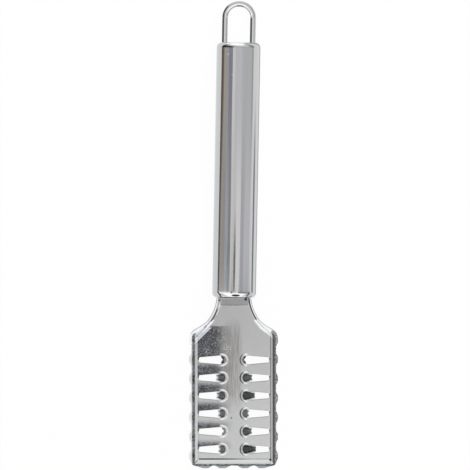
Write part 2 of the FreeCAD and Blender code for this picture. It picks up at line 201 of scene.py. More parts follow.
def edges_among(verts):
    inside = set(verts)
    return [edge for edge in {e for v in verts for e in v.link_edges} if set(edge.verts) <= inside]


def extrude_edges(bm, edges):
    """New vertices and the new free edges between them."""
    made = bmesh.ops.extrude_edge_only(bm, edges=edges)["geom"]
    verts = [item for item in made if isinstance(item, bmesh.types.BMVert)]
    return verts, [edge for edge in edges_among(verts) if edge.is_boundary]


# Outlines of the head
def arc(centre_x, centre_y, radius, start, end, steps):
    turns = [start + (end - start) * i / steps for i in range(steps + 1)]
    return [(centre_x + radius * math.cos(t), centre_y + radius * math.sin(t)) for t in turns]


def rounded(points, radius):
    """Open run of straight lines with each inner corner rounded off."""
    run = [points[0]]
    for before, at, after in zip(points, points[1:], points[2:]):
        at = Vector(at)
        to_before, to_after = Vector(before) - at, Vector(after) - at
        half_angle = to_before.angle(to_after) / 2
        reach = min(radius / math.tan(half_angle), 0.49 * to_before.length, 0.49 * to_after.length)
        start, end = at + to_before.normalized() * reach, at + to_after.normalized() * reach
        for i in range(CORNER_STEPS + 1):
            t = i / CORNER_STEPS
            run.append(tuple(start * (1 - t) ** 2 + at * 2 * t * (1 - t) + end * t ** 2))
    return run + [points[-1]]


def height_at(run, place):
    """Height of a run of lines, given as place and height, above one place."""
    ordered = run if run[0][0] < run[-1][0] else run[::-1]
    for (a, low), (b, high) in zip(ordered, ordered[1:]):
        if a <= place <= b and b > a:
            return low + (high - low) * (place - a) / (b - a)
    return ordered[0][1] if place < ordered[0][0] else ordered[-1][1]


def side_teeth():
    """Lower edge of a side wall, as places along Y and heights, from the tang to the front corner."""
    edge = [(TANG_LENGTH, FLANGE_FOOT), (-FLANGE_END, FLANGE_FOOT)]
    for i in range(TOOTH_COUNT):
        place = SHOULDER_Y - TOOTH_FIRST - TOOTH_PITCH * i
        if i > 0:
            edge.append((place + TOOTH_BASE / 2, TOOTH_DEPTH))
        edge += [(place + TOOTH_TIP / 2, 0), (place - TOOTH_TIP / 2, 0)]
        edge.append((place - TOOTH_BASE / 2, TOOTH_DEPTH))
    edge[-1] = (FRONT_Y - CORNER_REACH, CORNER_DEPTH)
    return rounded(edge, TOOTH_ROUND)


def front_teeth():
    """Lower edge of the front wall, as places along X and heights, from the middle to one corner."""
    edge = [(0, FRONT_DEPTH), (FRONT_PLACE - FRONT_BASE / 2, FRONT_DEPTH), (FRONT_PLACE - FRONT_TIP / 2, 0),
            (FRONT_PLACE + FRONT_TIP / 2, 0), (FRONT_PLACE + FRONT_BASE / 2, FRONT_DEPTH),
            (CORNER_PLACE - CORNER_INNER, FRONT_DEPTH), (CORNER_PLACE - CORNER_TIP / 2, 0),
            (CORNER_PLACE + CORNER_TIP / 2, 0), (HALF_TRAY + CORNER_REACH, CORNER_DEPTH)]
    return rounded(edge, TOOTH_ROUND)


def half_outline(side_edge, front_edge):
    """Right half of the back's outline, with a point wherever the walls' lower edge has one."""
    shoulder_y = SHOULDER_Y - SHOULDER_ROUND * math.tan(SLANT / 2)
    neck = arc(NECK_X, NECK_Y, NECK_ROUND, math.pi, math.pi + SLANT, NECK_STEPS)
    shoulder = arc(HALF_TRAY - SHOULDER_ROUND, shoulder_y, SHOULDER_ROUND, SLANT, 0, SHOULDER_STEPS)
    side = [(HALF_TRAY, y) for y, _ in side_edge
            if FRONT_Y + CORNER_CLEAR < y < shoulder[-1][1] - SHOULDER_CLEAR]
    front = [(x, FRONT_Y) for x, _ in reversed(front_edge) if 0 < x < HALF_TRAY - CORNER_CLEAR]
    return [(HALF_TANG, TANG_LENGTH)] + neck + shoulder + side + [(HALF_TRAY, FRONT_Y)] + front


def outward(points):
    """Direction at each point that moves an outline out by one unit, mitred at its corners."""
    ways = []
    for i in range(len(points)):
        normals = []
        for a, b in ((i - 1, i), (i, i + 1)):
            if 0 <= a and b < len(points):
                step = Vector(points[b]) - Vector(points[a])
                normals.append(Vector((-step.y, step.x)).normalized())
        first, last = normals[0], normals[-1]
        ways.append((first + last) / (1 + first.dot(last)))
    return ways


# The step down from the back to the tang, as places along Y and drops
STEP = rounded([(-NECK_LENGTH, 0), (-JOGGLE_START, 0), (JOGGLE_RUN - JOGGLE_START, JOGGLE),
                (TANG_LENGTH, JOGGLE)], STEP_ROUND)


def drop_at(y):
    return height_at(STEP, y)


def ease(share):
    """Soft start and end for a share from 0 to 1."""
    return share * share * (3 - 2 * share)


def slot_outline(side, row):
    """Edge of the flat sheet round one slot: half a ring, a fading lip and a long tapering mouth."""
    ring_radius = SPOUT_HOLLOW + LIP
    ring = arc(SLOT_X, 0, ring_radius, math.pi / 2, 3 * math.pi / 2, RING_STEPS)
    fade = []
    for i in range(1, FADE_STEPS + 1):
        t = i / FADE_STEPS
        flat_y = SLOT_ROOT / 2 - SLOT_TAPER * LIP_FADE * t
        fade.append((SLOT_X + LIP_FADE * t, ring_radius + (flat_y - ring_radius) * ease(t)))
    tip = rounded([(SLOT_X + LIP_FADE, -SLOT_ROOT / 2), (SLOT_END_X, -SLOT_TIP / 2),
                   (SLOT_END_X, SLOT_TIP / 2), (SLOT_X + LIP_FADE, SLOT_ROOT / 2)], SLOT_CORNER)
    lips = [1] * len(ring) + [1 - ease(i / FADE_STEPS) for i in range(1, FADE_STEPS + 1)]
    points = ring + [(x, -y) for x, y in fade] + tip[1:-1] + fade[::-1]
    lips += [0] * (len(tip) - 2) + [1 - ease(i / FADE_STEPS) for i in range(FADE_STEPS, 0, -1)]
    row_y = FIRST_ROW_Y - ROW_PITCH * row
    return [(side * x, row_y + y) for x, y in points], lips


# The head's sheet: each point of its edge remembers its home, its way outwards and its share of the lip
def marks_of(bm):
    """Layers that hold each point's home, its way outwards and its share of the lip."""
    layers = bm.verts.layers
    return layers.float_vector["home"], layers.float_vector["way"], layers.float["lip"]


def draw_edge(bm, points, ways, lips):
    """Closed run of edges on the flat sheet."""
    home, way, lip = marks_of(bm)
    verts = []
    for (x, y), direction, share in zip(points, ways, lips):
        vert = bm.verts.new((x - direction.x * BEND_INSET, y - direction.y * BEND_INSET, HEAD_DEPTH))
        vert[home], vert[way], vert[lip] = (x, y, 0), (direction.x, direction.y, 0), share
        verts.append(vert)
    return [bm.edges.new(pair) for pair in zip(verts, verts[1:] + verts[:1])]


def fill_back(bm, outline):
    """Flat back round its open slots, stepped down towards the tang."""
    edges = draw_edge(bm, outline, outward(outline), [0] * len(outline))
    for side in LEANS:
        for row in range(ROW_COUNT):
            points, lips = slot_outline(side, row)
            edges += draw_edge(bm, points, [Vector((0, 0))] * len(points), lips)
    bmesh.ops.triangle_fill(bm, use_beauty=True, use_dissolve=False, edges=edges)
    if sum(face.normal.z for face in bm.faces) < 0:
        bmesh.ops.reverse_faces(bm, faces=bm.faces)
    for y, _ in STEP[1:-1]:
        bmesh.ops.bisect_plane(bm, geom=bm.verts[:] + bm.edges[:] + bm.faces[:], dist=ON_CUT,
                               plane_co=(0, y, 0), plane_no=(0, 1, 0))
    for vert in bm.verts:
        vert.co.z = HEAD_DEPTH - drop_at(vert.co.y)


def bend_walls(bm, rim, side_edge, front_edge):
    """Bend the rim over, then draw the walls and flanges down to their lower edge."""
    home, way, _ = marks_of(bm)
    for i in range(1, RIM_STEPS + 1):
        turn = (math.pi / 2 - WALL_FLARE) * i / RIM_STEPS
        reach, depth = EDGE_ROUND * math.sin(turn) - BEND_INSET, EDGE_ROUND * (1 - math.cos(turn))
        verts, rim = extrude_edges(bm, rim)
        for vert in verts:
            base, direction = vert[home], vert[way]
            drop = drop_at(base.y + direction.y * reach)
            offset = reach + drop * FLARE
            vert.co = (base.x + direction.x * offset, base.y + direction.y * offset,
                       HEAD_DEPTH - drop - depth)
    verts, rim = extrude_edges(bm, rim)
    for vert in verts:
        base, direction = vert[home], vert[way]
        at_front = direction.y < -0.9 and abs(direction.x) < 0.9
        foot = FLANGE_FOOT
        for _ in range(FOOT_PASSES):
            offset = (HEAD_DEPTH - foot) * FLARE
            x, y = base.x + direction.x * offset, base.y + direction.y * offset
            foot = height_at(front_edge, abs(x)) if at_front else height_at(side_edge, y)
        vert.co = (x, y, max(foot, TIP_RISE))


def in_slot(base):
    """Slot's side and row, place along it from its root and across it, and the way to its middle."""
    side = 1 if base.x > 0 else -1
    row = round((FIRST_ROW_Y - base.y) / ROW_PITCH)
    along = abs(base.x) - SLOT_X
    across = base.y - (FIRST_ROW_Y - ROW_PITCH * row)
    if along < AT_ROOT:
        direction = -Vector((along, across)).normalized()
    else:
        direction = Vector((0, -math.copysign(1, across)))
    return side, row, along, across, direction


def roll_lips(bm, lips):
    """Roll the slots' edges over into the hollows, and give their new free edges."""
    home, _, lip = marks_of(bm)
    for i in range(1, LIP_STEPS + 1):
        turn = math.pi / 2 * i / LIP_STEPS
        verts, lips = extrude_edges(bm, lips)
        for vert in verts:
            side, _, _, _, direction = in_slot(vert[home])
            reach, depth = LIP * math.sin(turn) * vert[lip], LIP * (1 - math.cos(turn)) * vert[lip]
            base = vert[home]
            vert.co = (base.x + side * direction.x * reach, base.y + direction.y * reach,
                       HEAD_DEPTH - depth)
    return lips


def press_tongues(bm, lips):
    """Press the hollow tongues down from the round ends of the slots, each at its own lean."""
    home = marks_of(bm)[0]
    gutters = [edge for edge in lips if all(in_slot(v[home])[2] < AT_ROOT for v in edge.verts)]
    for i in range(1, GUTTER_STEPS + 1):
        share = i / GUTTER_STEPS
        verts, gutters = extrude_edges(bm, gutters)
        for vert in verts:
            side, row, along, across, _ = in_slot(vert[home])
            lean = math.radians(LEANS[side][row])
            turn = math.atan2(across, along)
            cut_back = TONGUE_CORNER * (1 + math.cos(turn)) ** 2
            depth = (TONGUE_REACH - cut_back) * share * math.cos(lean)
            radius = SPOUT_HOLLOW + (TIP_HOLLOW - SPOUT_HOLLOW) * share
            middle_x = SLOT_X - SPOUT_HOLLOW + depth * math.tan(lean) + radius
            row_y = FIRST_ROW_Y - ROW_PITCH * row
            vert.co = (side * (middle_x + radius * math.cos(turn)), row_y + radius * math.sin(turn),
                       HEAD_DEPTH - LIP - depth)


def head_surface():
    """Outer face of the head's sheet, in millimetres from the mouth of the handle."""
    bm = bmesh.new()
    for name in ("home", "way"):
        bm.verts.layers.float_vector.new(name)
    bm.verts.layers.float.new("lip")
    side_edge, front_edge = side_teeth(), front_teeth()
    right = half_outline(side_edge, front_edge)
    fill_back(bm, right + [(0, FRONT_Y)] + [(-x, y) for x, y in reversed(right)])

    _, way, lip = marks_of(bm)
    free = [edge for edge in bm.edges if edge.is_boundary]
    rim = [edge for edge in free if all(v[way].length > 0.5 for v in edge.verts)
           and not all(v.co.y > TANG_LENGTH - 0.01 for v in edge.verts)]
    lips = [edge for edge in free if all(v[way].length < 0.5 for v in edge.verts)
            and any(v[lip] > 0 for v in edge.verts)]
    bend_walls(bm, rim, side_edge, front_edge)
    press_tongues(bm, roll_lips(bm, lips))

    bmesh.ops.remove_doubles(bm, verts=bm.verts, dist=HEAD_WELD)
    bmesh.ops.dissolve_degenerate(bm, edges=bm.edges, dist=WELD)
    bmesh.ops.recalc_face_normals(bm, faces=bm.faces)
    if sum(face.normal.z * face.calc_area() for face in bm.faces) < 0:
        bmesh.ops.reverse_faces(bm, faces=bm.faces)
    return bm


def make_head(material):
    """The sheet gets its thickness, its cut edges are eased, and its flat faces stay flat in the light."""
    head = finish_piece(head_surface(), "head", "scraper_head", HEAD_SEAT, material)
    wall = head.modifiers.new("sheet", "SOLIDIFY")
    wall.thickness, wall.offset = SHEET * MM, -1
    wall.use_even_offset = True
    edge = head.modifiers.new("soft_edges", "BEVEL")
    edge.width, edge.segments = EDGE_SOFT * MM, 2
    edge.limit_method, edge.angle_limit = "ANGLE", CREASE
    edge.use_clamp_overlap = True
    head.modifiers.new("flat_faces", "WEIGHTED_NORMAL").keep_sharp = True


# Handle and loop, drawn along Y from the mouth of the handle
def turned(section):
    """Closed section, as radii and places along Y, spun round the handle's axis."""
    bm = bmesh.new()
    verts = [bm.verts.new((radius, y, 0)) for radius, y in section]
    edges = [bm.edges.new(pair) for pair in zip(verts, verts[1:] + verts[:1])]
    bmesh.ops.spin(bm, geom=verts + edges, cent=(0, 0, 0), axis=(0, 1, 0), angle=2 * math.pi,
                   steps=TURN_STEPS, use_merge=True)
    bmesh.ops.remove_doubles(bm, verts=bm.verts, dist=WELD)
    bmesh.ops.recalc_face_normals(bm, faces=bm.faces)
    return bm


def mark_creases(piece):
    """Keep sharp the edges where faces meet at a steep angle."""
    bm = bmesh.new()
    bm.from_mesh(piece.data)
    for edge in bm.edges:
        if edge.is_manifold and edge.calc_face_angle() > CREASE:
            edge.smooth = False
    bm.to_mesh(piece.data)
    bm.free()


def make_tube(material):
    inside, end = TUBE_RADIUS - TUBE_WALL, HANDLE_LENGTH - CAP_HEIGHT
    bm = turned([(inside, CAP_HEIGHT), (TUBE_RADIUS, CAP_HEIGHT), (TUBE_RADIUS, end), (inside, end)])
    mark_creases(finish_piece(bm, "tube", "handle_tube", HANDLE_SEAT, material))


def cup(inwards, crown):
    """Pressed cup with its closed end at Y 0, its skirt pointing along inwards."""
    flat_radius, quarter = TUBE_RADIUS - CAP_ROUND, -math.pi / 2 * inwards
    outer = arc(flat_radius, CAP_ROUND * inwards, CAP_ROUND, quarter, 0, CAP_STEPS)
    inner = arc(flat_radius, CAP_ROUND * inwards, CAP_ROUND - CAP_WALL, 0, quarter, CAP_STEPS)
    rise = [(radius, crown * inwards * (radius / flat_radius) ** 2) for radius in CROWN_RINGS]
    top = rise + [(r, y + crown * inwards) for r, y in outer]
    skirt = [(TUBE_RADIUS, CAP_HEIGHT * inwards), (TUBE_RADIUS - CAP_WALL, CAP_HEIGHT * inwards)]
    under = [(r, y + crown * inwards) for r, y in inner]
    back = [(r, y + CAP_WALL * inwards) for r, y in reversed(rise)]
    return turned(top + skirt + under + back)


def punch(piece, bm):
    """Cut a shape, drawn round the handle's axis, out of a piece, and leave plain mesh behind."""
    bm.transform(HANDLE_SEAT)
    bmesh.ops.recalc_face_normals(bm, faces=bm.faces)
    cutter = new_piece(bm, "cutter")
    hole = piece.modifiers.new("hole", "BOOLEAN")
    hole.object, hole.operation, hole.solver = cutter, "DIFFERENCE", "EXACT"
    graph = bpy.context.evaluated_depsgraph_get()
    mesh = bpy.data.meshes.new_from_object(piece.evaluated_get(graph))
    piece.modifiers.remove(hole)
    mesh.name = piece.name
    piece.data = mesh
    bpy.data.objects.remove(cutter)
    mark_creases(piece)


def make_mouth_cap(material):
    """Cup with a slot that the flanged tang goes through."""
    cap = finish_piece(cup(1, 0), "mouth_cap_shell", "mouth_cap", HANDLE_SEAT, material)
    bulge = NECK_ROUND - math.sqrt(NECK_ROUND ** 2 - NECK_Y ** 2)
    half_slot = HALF_TANG + bulge + (JOGGLE + FLANGE_DEPTH) * FLARE + FIT_GAP
    low = FLANGE_FOOT - FIT_GAP - AXIS_Z
    high = HEAD_DEPTH - JOGGLE + FIT_GAP - AXIS_Z
    bm = bmesh.new()
    bmesh.ops.create_cube(bm, size=1)
    bmesh.ops.scale(bm, verts=bm.verts, vec=(2 * half_slot, CUT_LENGTH, high - low))
    bmesh.ops.translate(bm, verts=bm.verts, vec=(0, 0, (low + high) / 2))
    punch(cap, bm)


def make_end_cap(material):
    """Slightly crowned cup with a round hole for each leg of the loop."""
    at_end = Matrix.Translation((0, HANDLE_LENGTH, 0))
    cap = finish_piece(cup(-1, CAP_CROWN), "end_cap_shell", "end_cap", HANDLE_SEAT @ at_end,
                       material)
    bm = bmesh.new()
    for side in (1, -1):
        bmesh.ops.create_cone(bm, cap_ends=True, segments=WIRE_STEPS * 2, radius1=WIRE_RADIUS + FIT_GAP,
                              radius2=WIRE_RADIUS + FIT_GAP, depth=CUT_LENGTH,
                              matrix=Matrix.Translation((side * LOOP_WIDTH / 2, HANDLE_LENGTH, 0))
                              @ Matrix.Rotation(math.pi / 2, 4, "X"))
    punch(cap, bm)


def make_loop(material):
    """Round wire: a leg, half a turn of arch and the other leg."""
    bm = bmesh.new()
    half = LOOP_WIDTH / 2
    hidden_y, arch_y = HANDLE_LENGTH - LEG_HIDDEN, HANDLE_LENGTH + LOOP_LEG
    start = Matrix.Translation((half, hidden_y, 0)) @ Matrix.Rotation(math.pi / 2, 4, "X")
    ring = bmesh.ops.create_circle(bm, cap_ends=True, segments=WIRE_STEPS, radius=WIRE_RADIUS, matrix=start)
    edges = edges_among(ring["verts"])

    def straight(edges, length):
        verts, edges = extrude_edges(bm, edges)
        bmesh.ops.translate(bm, verts=verts, vec=(0, length, 0))
        return edges

    edges = straight(edges, arch_y - hidden_y)
    verts = list({v for e in edges for v in e.verts})
    spun = bmesh.ops.spin(bm, geom=verts + edges, cent=(0, arch_y, 0), axis=(0, 0, 1), angle=math.pi,
                          steps=ARCH_STEPS, use_merge=False)
    last = [item for item in spun["geom_last"] if isinstance(item, bmesh.types.BMVert)]
    edges = straight(edges_among(last), hidden_y - arch_y)
    bmesh.ops.contextual_create(bm, geom=edges)
    bmesh.ops.remove_doubles(bm, verts=bm.verts, dist=WELD)
    bmesh.ops.recalc_face_normals(bm, faces=bm.faces)
    mark_creases(finish_piece(bm, "loop", "hanging_loop", HANDLE_SEAT, material))


# Materials are written as sums of sockets
class Wire:
    """A value, colour or vector on its way through a material."""

    def __init__(self, recipe, socket):
        self.recipe, self.socket = recipe, socket

    def maths(self, operation, *values):
        return self.recipe.node("ShaderNodeMath", {"operation": operation}, dict(enumerate(values)))

    def __add__(self, other):
        return self.maths("ADD", self, other)

    def __radd__(self, other):
        return self.maths("ADD", other, self)

    def __sub__(self, other):
        return self.maths("SUBTRACT", self, other)

    def __rsub__(self, other):
        return self.maths("SUBTRACT", other, self)

    def __mul__(self, other):
        return self.maths("MULTIPLY", self, other)

    def __rmul__(self, other):
        return self.maths("MULTIPLY", other, self)

    def __truediv__(self, other):
        return self.maths("DIVIDE", self, other)

    def size(self):
        return self.maths("ABSOLUTE", self)

    def root(self):
        return self.maths("SQRT", self)

    def nearest_whole(self):
        return self.maths("ROUND", self)

    def next_whole(self):
        return self.maths("CEIL", self)

    def cosine(self):
        return self.maths("COSINE", self)

    def least(self, other):
        return self.maths("MINIMUM", self, other)

    def most(self, other):
        return self.maths("MAXIMUM", self, other)

    def near(self, value, reach, fade):
        """1 within reach of a value, fading to 0 over a further stretch."""
        return 1 - (self - value).size().between(reach, reach + fade)

    def between(self, low, high):
        """0 below low, 1 above high, and a smooth step from one to the other."""
        return self.recipe.node("ShaderNodeMapRange", {"interpolation_type": "SMOOTHSTEP"},
                                {"Value": self, "From Min": low, "From Max": high})


class Recipe:
    """A node tree that is written as expressions."""

    def __init__(self, tree):
        self.tree = tree
        tree.nodes.clear()

    def node(self, kind, settings=None, values=None, output=0):
        node = self.tree.nodes.new(kind)
        for name, setting in (settings or {}).items():
            if name == "stops":
                self.fill_ramp(node.color_ramp, setting)
            else:
                setattr(node, name, setting)
        for name, value in (values or {}).items():
            if isinstance(value, Wire):
                self.tree.links.new(value.socket, node.inputs[name])
            else:
                node.inputs[name].default_value = value
        return Wire(self, node.outputs[output]) if node.outputs else None

    def fill_ramp(self, ramp, stops):
        while len(ramp.elements) < len(stops):
            ramp.elements.new(1)
        for element, (place, colour) in zip(ramp.elements, sorted(stops)):
            element.position, element.color = place, (*colour, 1)

    def blend(self, share, first, second):
        """Colour between two colours."""
        return self.node("ShaderNodeMix", {"data_type": "RGBA"}, {0: share, 6: first, 7: second}, 2)

    def mixed(self, share, first, second):
        """Number between two numbers."""
        return self.node("ShaderNodeMix", {"data_type": "FLOAT"}, {0: share, 2: first, 3: second})

    def place(self):
        """Place on the object, in millimetres, as a vector and its three parts."""
        metres = self.node("ShaderNodeTexCoord", output="Object")
        vector = self.node("ShaderNodeVectorMath", {"operation": "SCALE"}, {0: metres, "Scale": 1 / MM})
        parts = [self.node("ShaderNodeSeparateXYZ", values={0: vector}, output=axis) for axis in range(3)]
        return vector, *parts

    def noise(self, vector, stretch, scale, detail=3.0, roughness=0.5):
        """Even noise, stretched by three factors."""
        drawn = self.node("ShaderNodeMapping", values={"Vector": vector, "Scale": stretch})
        return self.node("ShaderNodeTexNoise", values={"Vector": drawn, "Scale": scale, "Detail": detail,
                                                       "Roughness": roughness})

    def bump(self, height, depth):
        """Fine relief, with its depth in millimetres."""
        values = {"Height": height, "Distance": depth * MM, "Strength": 1.0}
        return self.node("ShaderNodeBump", values=values)


def new_material(name):
    material = bpy.data.materials.new(name)
    material.use_nodes = True
    return material, Recipe(material.node_tree)


def steel(name, finish):
    """Bare metal; finish gives the colour, roughness and normal that its surface has."""
    material, recipe = new_material(name)
    colour, roughness, normal = finish(recipe)
    shader = recipe.node("ShaderNodeBsdfPrincipled", values={
        "Base Color": colour, "Roughness": roughness, "Normal": normal, "Metallic": 1.0})
    recipe.node("ShaderNodeOutputMaterial", values={"Surface": shader})
    return material


BLACK, WHITE = (0, 0, 0, 1), (1, 1, 1, 1)


class Painter:
    """Tone of a surface, from 0 to 1, with marks painted over it one after another."""

    def __init__(self, recipe, tone=None):
        self.recipe, self.tone = recipe, tone

    def paint(self, share, tone):
        """Bring the surface to a tone by the share that a mark has there."""
        self.tone = self.recipe.mixed(share, self.tone, tone)

    def colour(self, tint=WHITE):
        return self.recipe.blend(self.tone, BLACK, tint)


def spot(x, y, centre, radius):
    """1 in the middle of a round spot, fading to 0 at its edge."""
    across, along = x - centre[0], y - centre[1]
    return 1 - (across * across + along * along).root().between(radius * 0.4, radius)


# Marks and painted light and shade on the head: places in millimetres from the mouth, and tones from 0 to 1
NECK_SHADE = 0.565
FRONT_SHADE = 0.68
COLD_STEEL = (1.0, 1.005, 1.01, 1)
WARM_STEEL = (1.0, 0.985, 0.96, 1)
# Tint and places of the mottled dark patch on the back, which is a painted dark reflection
BLUISH_REFLECTION = (0.95, 0.97, 1.07, 1)
DARK_REFLECTION_TOP = -13.3
DARK_REFLECTION_EDGE = -10.2
DARK_REFLECTION_FADE = 11.0
DARK_REFLECTION_DEPTH = 8.4
DARK_REFLECTION_FALL = 0.75
DARK_REFLECTION_LEFT = BEND_INSET - HALF_TRAY
SCRATCHES = (((-3.0, -24.3), 2.8, 1.0), ((-12.8, -25.5), 2.8, 0.7))
SPECKS = (((5.65, -0.6), 0.95), ((-6.9, -1.1), 0.55), ((17.4, -77.4), 0.8))
WEB_SPECK = ((-1.25, -57.4), 0.6)
CORNER_GLINT = ((18.6, -78.9), 0.9)
SHOULDER_LINES = ((-0.98, 3.6), (0.73, 5.66))

# Marks on the handle, painted light and shade and a few scratches: places across it and from its mouth or
# its far end
OVAL_PLACE, OVAL_HALVES = (0.7, 1.3), (2.2, 0.55)
END_SCRATCHES = (((-4.4, 5.2), 2.6), ((-3.2, 16.4), 1.4))

# Depth of the finest relief, in millimetres
HEAD_GRAIN, HANDLE_GRAIN, WIRE_GRAIN = 0.004, 0.003, 0.01


class HeadPainter(Painter):
    """Painter that knows where a point of the head lies, and how its steel varies."""

    def __init__(self, recipe):
        super().__init__(recipe)
        place, self.x, y, self.z = recipe.place()
        self.along = y - MOUTH_Y
        self.right = self.x.between(0, 0.1)
        self.left = 1 - self.right
        self.top = self.z.between(HEAD_DEPTH - JOGGLE - 1.2, HEAD_DEPTH - JOGGLE - 0.4)
        self.brushing = recipe.noise(place, (4.8, 0.1, 4.8), 1.0, 3.0, 0.6)
        self.grain = recipe.noise(place, (1, 1, 1), 2.6, 2.0)
        self.mottle = recipe.noise(place, (1, 1, 1), 1.5, 3.0, 0.75)
        self.clouds = recipe.noise(place, (1, 1, 1), 0.14, 2.0)
        self.curls = 1 - (recipe.noise(place, (1, 1, 1), 0.6, 0.0) - 0.5).size().between(0.006, 0.03)

        # Rows of slots behind this place, the nearest of them, and the place from its slot's root
        self.row = (FIRST_ROW_Y - self.along) / ROW_PITCH
        self.nearest = self.row.nearest_whole().most(0.0).least(ROW_COUNT - 1.0)
        self.across = (self.row - self.nearest) * -ROW_PITCH
        self.reach = self.x.size() - SLOT_X

        # Distance inwards from the curved edge of the neck
        side_x, side_y = self.x.size() - NECK_X, self.along - NECK_Y
        self.from_edge = (side_x * side_x + side_y * side_y).root() - NECK_ROUND

    def spot(self, centre, radius):
        return spot(self.x, self.along, centre, radius)

    def lay_metal(self):
        """Plain metal, darker at the neck and lighter towards the front; gives how brownish it is."""
        near_front = 1 - self.along.between(-72, -8)
        light = NECK_SHADE + (FRONT_SHADE - NECK_SHADE) * near_front + self.x.between(2, 8) * 0.02
        web = self.x.near(-0.4, 2.0, 3.0) * self.along.near(-32, 12, 12) * self.top
        streaks = 0.03 + self.brushing.between(0.34, 0.66) * 0.24
        self.tone = light * (0.96 + self.brushing * 0.08) - web * streaks
        return web * 0.8 + 0.1

    def paint_dark_reflection(self):
        """Painted dark reflection, mottled: crisp at its top, fading to the right, less of each strip
        nearer the front.
        """
        ragged = (self.clouds - 0.5) * 3
        next_row = self.row.next_whole()
        depth = DARK_REFLECTION_DEPTH - next_row * DARK_REFLECTION_FALL
        strip = (next_row - self.row) * ROW_PITCH - depth + (self.mottle - 0.5) * 2
        dark_reflection = (1 - (self.x + ragged).between(DARK_REFLECTION_EDGE, DARK_REFLECTION_EDGE + DARK_REFLECTION_FADE)) * self.top
        dark_reflection = dark_reflection * (1 - (self.along + ragged * 0.4).between(DARK_REFLECTION_TOP - 0.5, DARK_REFLECTION_TOP + 0.5))
        dark_reflection = dark_reflection * (1 - strip.between(-3.0, 0.6) * self.row.between(-0.02, 0.02))
        dark_reflection = dark_reflection * (1 - self.row.between(ROW_COUNT - 1, ROW_COUNT - 0.9))
        dark_reflection = dark_reflection * self.x.between(DARK_REFLECTION_LEFT - 0.6, DARK_REFLECTION_LEFT - 0.2)
        self.paint(dark_reflection, self.mottle.between(0.42, 0.68) * 0.3 + 0.045 + self.brushing * 0.04)
        return dark_reflection

    def paint_scratches(self):
        """Squiggly scratches beside the painted dark reflection, and a speck on the web."""
        patches = [self.spot(centre, radius) * share for centre, radius, share in SCRATCHES]
        self.paint(self.curls * patches[0].most(patches[1]) * self.top, 0.85)
        self.paint(self.spot(*WEB_SPECK), 0.2)

    def paint_rings(self):
        """Painted highlight on the lips, and painted shade round the right-hand rings and along the slots.
        """
        ring = (self.across * self.across + self.reach * self.reach).root()
        # Painted highlight on the lips
        lip = ring.near(SPOUT_HOLLOW + LIP * 0.5, LIP * 0.5, 0.3) * (1 - self.reach.between(-0.2, 1.6))
        self.paint(lip * (0.55 + self.mottle * 0.4), 0.93)
        # Painted shade as dark outlines of the right-hand rings
        outline = ring.near(SPOUT_HOLLOW + LIP - 0.15, 0.2, 0.22) * self.right
        outline = outline * (1 - (self.reach + self.mottle * 2).between(-1.2, 0.8))
        self.paint(outline * (0.65 + self.clouds * 0.5), 0.03)
        # Painted shade as soft dark lines along the slots
        from_slot = self.across.size() + self.reach * SLOT_TAPER - SLOT_ROOT / 2
        slot_line = from_slot.near(0.15, 0.12, 0.15) * self.reach.between(1.2, 2.4) * self.top
        slot_line = slot_line * (1 - self.reach.between(10.4, 10.8))
        self.paint(slot_line * (0.5 - self.across.between(-0.1, 0.1) * 0.3), 0.12)
        return lip

    def paint_tongues(self):
        """Painted shade in the hollow tongues, with painted highlights on their edges and ends, the first
        row's duller and darker with only a painted gleam; gives how much duller they are."""
        tongue = 1 - self.z.between(HEAD_DEPTH - LIP - 0.6, HEAD_DEPTH - LIP)
        tongue = tongue * (1 - self.reach.between(8, 8.5)) * self.across.near(0, SPOUT_HOLLOW + 0.4, 0.2)
        # Painted shade in the hollow tongues
        self.paint(tongue, 0.03 + self.mottle.between(0.44, 0.6) * 0.2)
        first_row = 1 - self.nearest.between(0.2, 0.5)
        edge = (self.across.size() - self.z.between(4, 10) * 0.65).between(1.0, 1.25)
        end = 1 - (self.z + self.x.between(-1, 1) * 1.2).between(2.8, 3.6)
        # Painted highlights on the tongues' edges and ends
        self.paint(tongue * edge.most(end * 0.8) * (1 - first_row) * 0.85, 1.0)
        # Painted gleam down the first row's tongues
        gleam = self.x.size().near(4.45, 0.1, 0.12) * self.across.near(0, 0.9, 0.4) * first_row
        self.paint(tongue * gleam * 0.8, 1.0)
        return tongue * (0.35 + first_row * 0.35)

    def paint_slot_ends(self):
        """Painted shade in the corner at the end of each right-hand slot, and along the fold beside them.
        """
        slot_end = spot(self.x, self.across, (HALF_TRAY - BEND_INSET + 0.1, 0.5), 0.6)
        fold = self.x.near(HALF_TRAY - 0.8, 0.1, 0.25) * (1 - self.along.between(-19, -17)) * 0.4
        self.paint(slot_end.most(fold) * 0.85, 0.08)

    def paint_highlight_bands(self):
        """Painted highlights on the flanges, the neck's left side and the shoulders' corners, the left
        corner with two thin painted dark lines over it, and a painted glint at the front corner."""
        flange = (1 - self.from_edge.between(-0.5, -0.2)) * self.along.between(-17, -15)
        neck_side = self.from_edge.near(0.75, 0.55, 0.2) * self.left * self.along.near(-4.5, 3.2, 0.6)
        self.paint(flange.most(neck_side * 0.8), 0.86)
        beyond_left, beyond_right = [self.along + self.x * slope + offset
                                     for slope, offset in SHOULDER_LINES]
        left_corner = beyond_left.between(-0.3, 0.3) * (1 - self.x.between(-10, -9.5))
        right_corner = beyond_right.between(-0.3, 0.3) * self.x.between(10, 10.5)
        corner = left_corner.most(right_corner) * (1 - self.along.between(-14.5, -13.5))
        self.paint(corner, 0.88)
        self.paint(beyond_left.near(1.1, 0.05, 0.2) * corner * 0.5, 0.3)
        shoulder = self.from_edge.near(0.6, 0.7, 0.2) * self.right
        shoulder = shoulder + self.from_edge.near(0.9, 0.5, 0.2) * self.left
        shoulder = shoulder * self.along.near(-13.4, 2.6, 0.6)
        self.paint(shoulder.most(self.spot(*CORNER_GLINT)), 1.0)
        self.paint(beyond_left.near(2.75, 0.08, 0.2) * corner * self.top * 0.8, 0.12)

